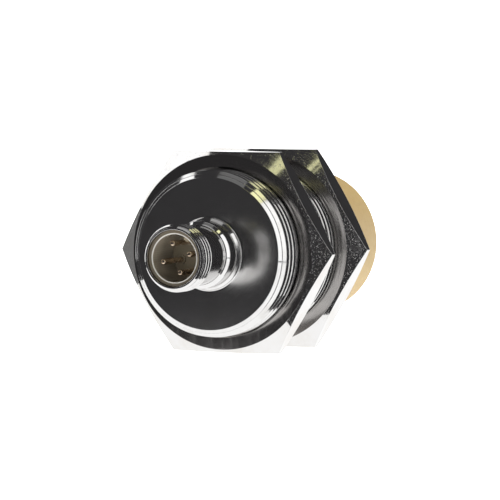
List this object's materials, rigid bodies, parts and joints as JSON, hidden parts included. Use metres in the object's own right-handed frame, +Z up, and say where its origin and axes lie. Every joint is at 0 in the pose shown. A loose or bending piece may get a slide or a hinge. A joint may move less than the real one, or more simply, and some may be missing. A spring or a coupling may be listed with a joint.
{
  "type": "inductive proximity sensor",
  "caption": "Cylindrical threaded inductive proximity sensor with a plug at the rear, two hexagon mounting nuts and a protruding plastic sensing cap.",
  "frame": {"origin": "centre of the sensing face", "axes": "+Y out of the sensing face along the sensor's axis, the plug at -Y; +Z up, square to the flats on which both nuts rest; X to the side"},
  "size_m": [0.0416, 0.061, 0.036],
  "materials": {
    "barrel_chrome": "bright chrome plating on turned brass",
    "plug_chrome": "bright chrome plating, finely turned rear face",
    "nut_chrome": "bright nickel-chrome plating, rough chamfers",
    "cap_plastic": "smooth beige moulded plastic",
    "insert_plastic": "translucent brown moulded plastic",
    "contact_gold": "gold-plated contact pins",
    "seal_rubber": "black nitrile rubber",
    "ferrite": "sintered ferrite",
    "bobbin_plastic": "natural moulded plastic",
    "enamelled_copper": "enamelled copper wire",
    "carrier_plastic": "black glass-filled plastic",
    "board_laminate": "green solder mask on glass-epoxy laminate",
    "package_black": "black moulded package",
    "diode_black": "black moulded package",
    "capacitor_ceramic": "tan ceramic with tinned end caps",
    "resistor_ceramic": "dark film on ceramic with tinned end caps",
    "led_lens": "diffused amber lens",
    "lead_insulation": "extruded insulation",
    "solder": "tin solder",
    "epoxy": "cast epoxy"
  },
  "bodies": {
    "barrel": {"housing_tube": "barrel_chrome", "rear_cap": "plug_chrome", "rear_cap_seal": "seal_rubber", "plug_insert": "insert_plastic", "insert_seal": "seal_rubber", "sensing_cap": "cap_plastic", "cap_seal": "seal_rubber", "ferrite_core": "ferrite", "coil_bobbin": "bobbin_plastic", "coil_winding": "enamelled_copper", "board_carrier": "carrier_plastic", "contact_pin_1": "contact_gold", "contact_pin_2": "contact_gold", "contact_pin_3": "contact_gold", "contact_pin_4": "contact_gold", "circuit_board": "board_laminate", "oscillator_ic": "package_black", "voltage_regulator": "package_black", "output_transistor": "package_black", "protection_diodes": "diode_black", "chip_capacitors": "capacitor_ceramic", "chip_resistors": "resistor_ceramic", "status_led": "led_lens", "coil_leads": "enamelled_copper", "connector_leads": "lead_insulation", "solder_joints": "solder", "potting_compound": "epoxy"},
    "rear_nut": {"mounting_nut_rear": "nut_chrome"},
    "front_nut": {"mounting_nut_front": "nut_chrome"}
  },
  "joints": [
    {"name": "rear_nut_travel", "type": "slide", "parent": "barrel", "child": "rear_nut", "axis": [0, 1, 0], "range_m": [-0.0045, 0.00525]},
    {"name": "front_nut_travel", "type": "slide", "parent": "barrel", "child": "front_nut", "axis": [0, 1, 0], "range_m": [-0.00525, 0.00475]}
  ]
}
